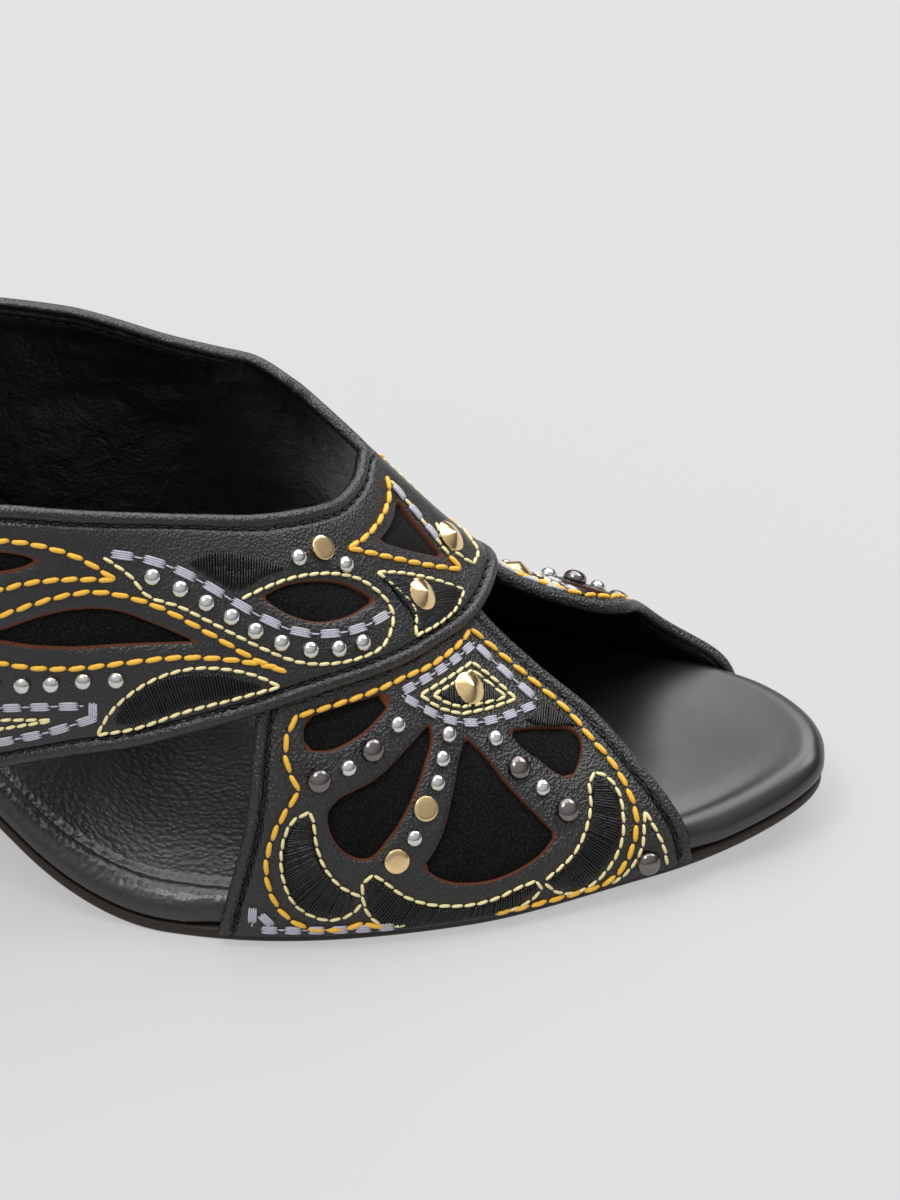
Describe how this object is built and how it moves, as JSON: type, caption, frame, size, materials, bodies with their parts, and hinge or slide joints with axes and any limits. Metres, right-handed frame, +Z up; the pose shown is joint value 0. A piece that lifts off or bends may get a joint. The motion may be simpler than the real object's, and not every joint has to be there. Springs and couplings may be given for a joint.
{
  "type": "heeled mule",
  "caption": "Open-toe heeled mule with a criss-cross leather upper, studded and embroidered, on a padded insole, thin outsole and slim covered heel.",
  "frame": {"origin": "middle of the footprint box, on the floor", "axes": "+X towards the toe, +Y towards the inner side of the right foot, +Z up"},
  "size_m": [0.2196, 0.0834, 0.079],
  "materials": {
    "upper_leather": "black calf leather with fine grain and a soft sheen",
    "insole_leather": "black lining leather, satin",
    "outsole_leather": "dark brown stained leather edge",
    "heel_cover": "black leather stretched over the heel block",
    "heel_rubber": "matte black rubber top piece",
    "stud_gold": "polished pale gold plate",
    "stud_gunmetal": "polished gunmetal plate"
  },
  "bodies": {
    "root": {"outsole": "outsole_leather", "insole": "insole_leather", "upper": "upper_leather", "heel": "heel_cover", "heel_top_piece": "heel_rubber", "stud_band_flat_lateral": "stud_gold", "stud_band_cone_lateral": "stud_gold", "stud_eye_cone_lateral": "stud_gold", "stud_fan_flat_upper_lateral": "stud_gold", "stud_fan_flat_lower_lateral": "stud_gold", "stud_fan_dome_back_lateral": "stud_gunmetal", "stud_fan_dome_side_lateral": "stud_gunmetal", "stud_fan_dome_front_lateral": "stud_gunmetal", "stud_fan_dome_toe_lateral": "stud_gunmetal", "stud_corner_dome_lateral": "stud_gunmetal", "stud_band_flat_medial": "stud_gold", "stud_band_cone_medial": "stud_gold", "stud_eye_cone_medial": "stud_gold", "stud_fan_flat_upper_medial": "stud_gold", "stud_fan_flat_lower_medial": "stud_gold", "stud_fan_dome_back_medial": "stud_gunmetal", "stud_fan_dome_side_medial": "stud_gunmetal", "stud_fan_dome_front_medial": "stud_gunmetal", "stud_fan_dome_toe_medial": "stud_gunmetal", "stud_corner_dome_medial": "stud_gunmetal", "stud_centre_cone": "stud_gold"}
  },
  "joints": []
}
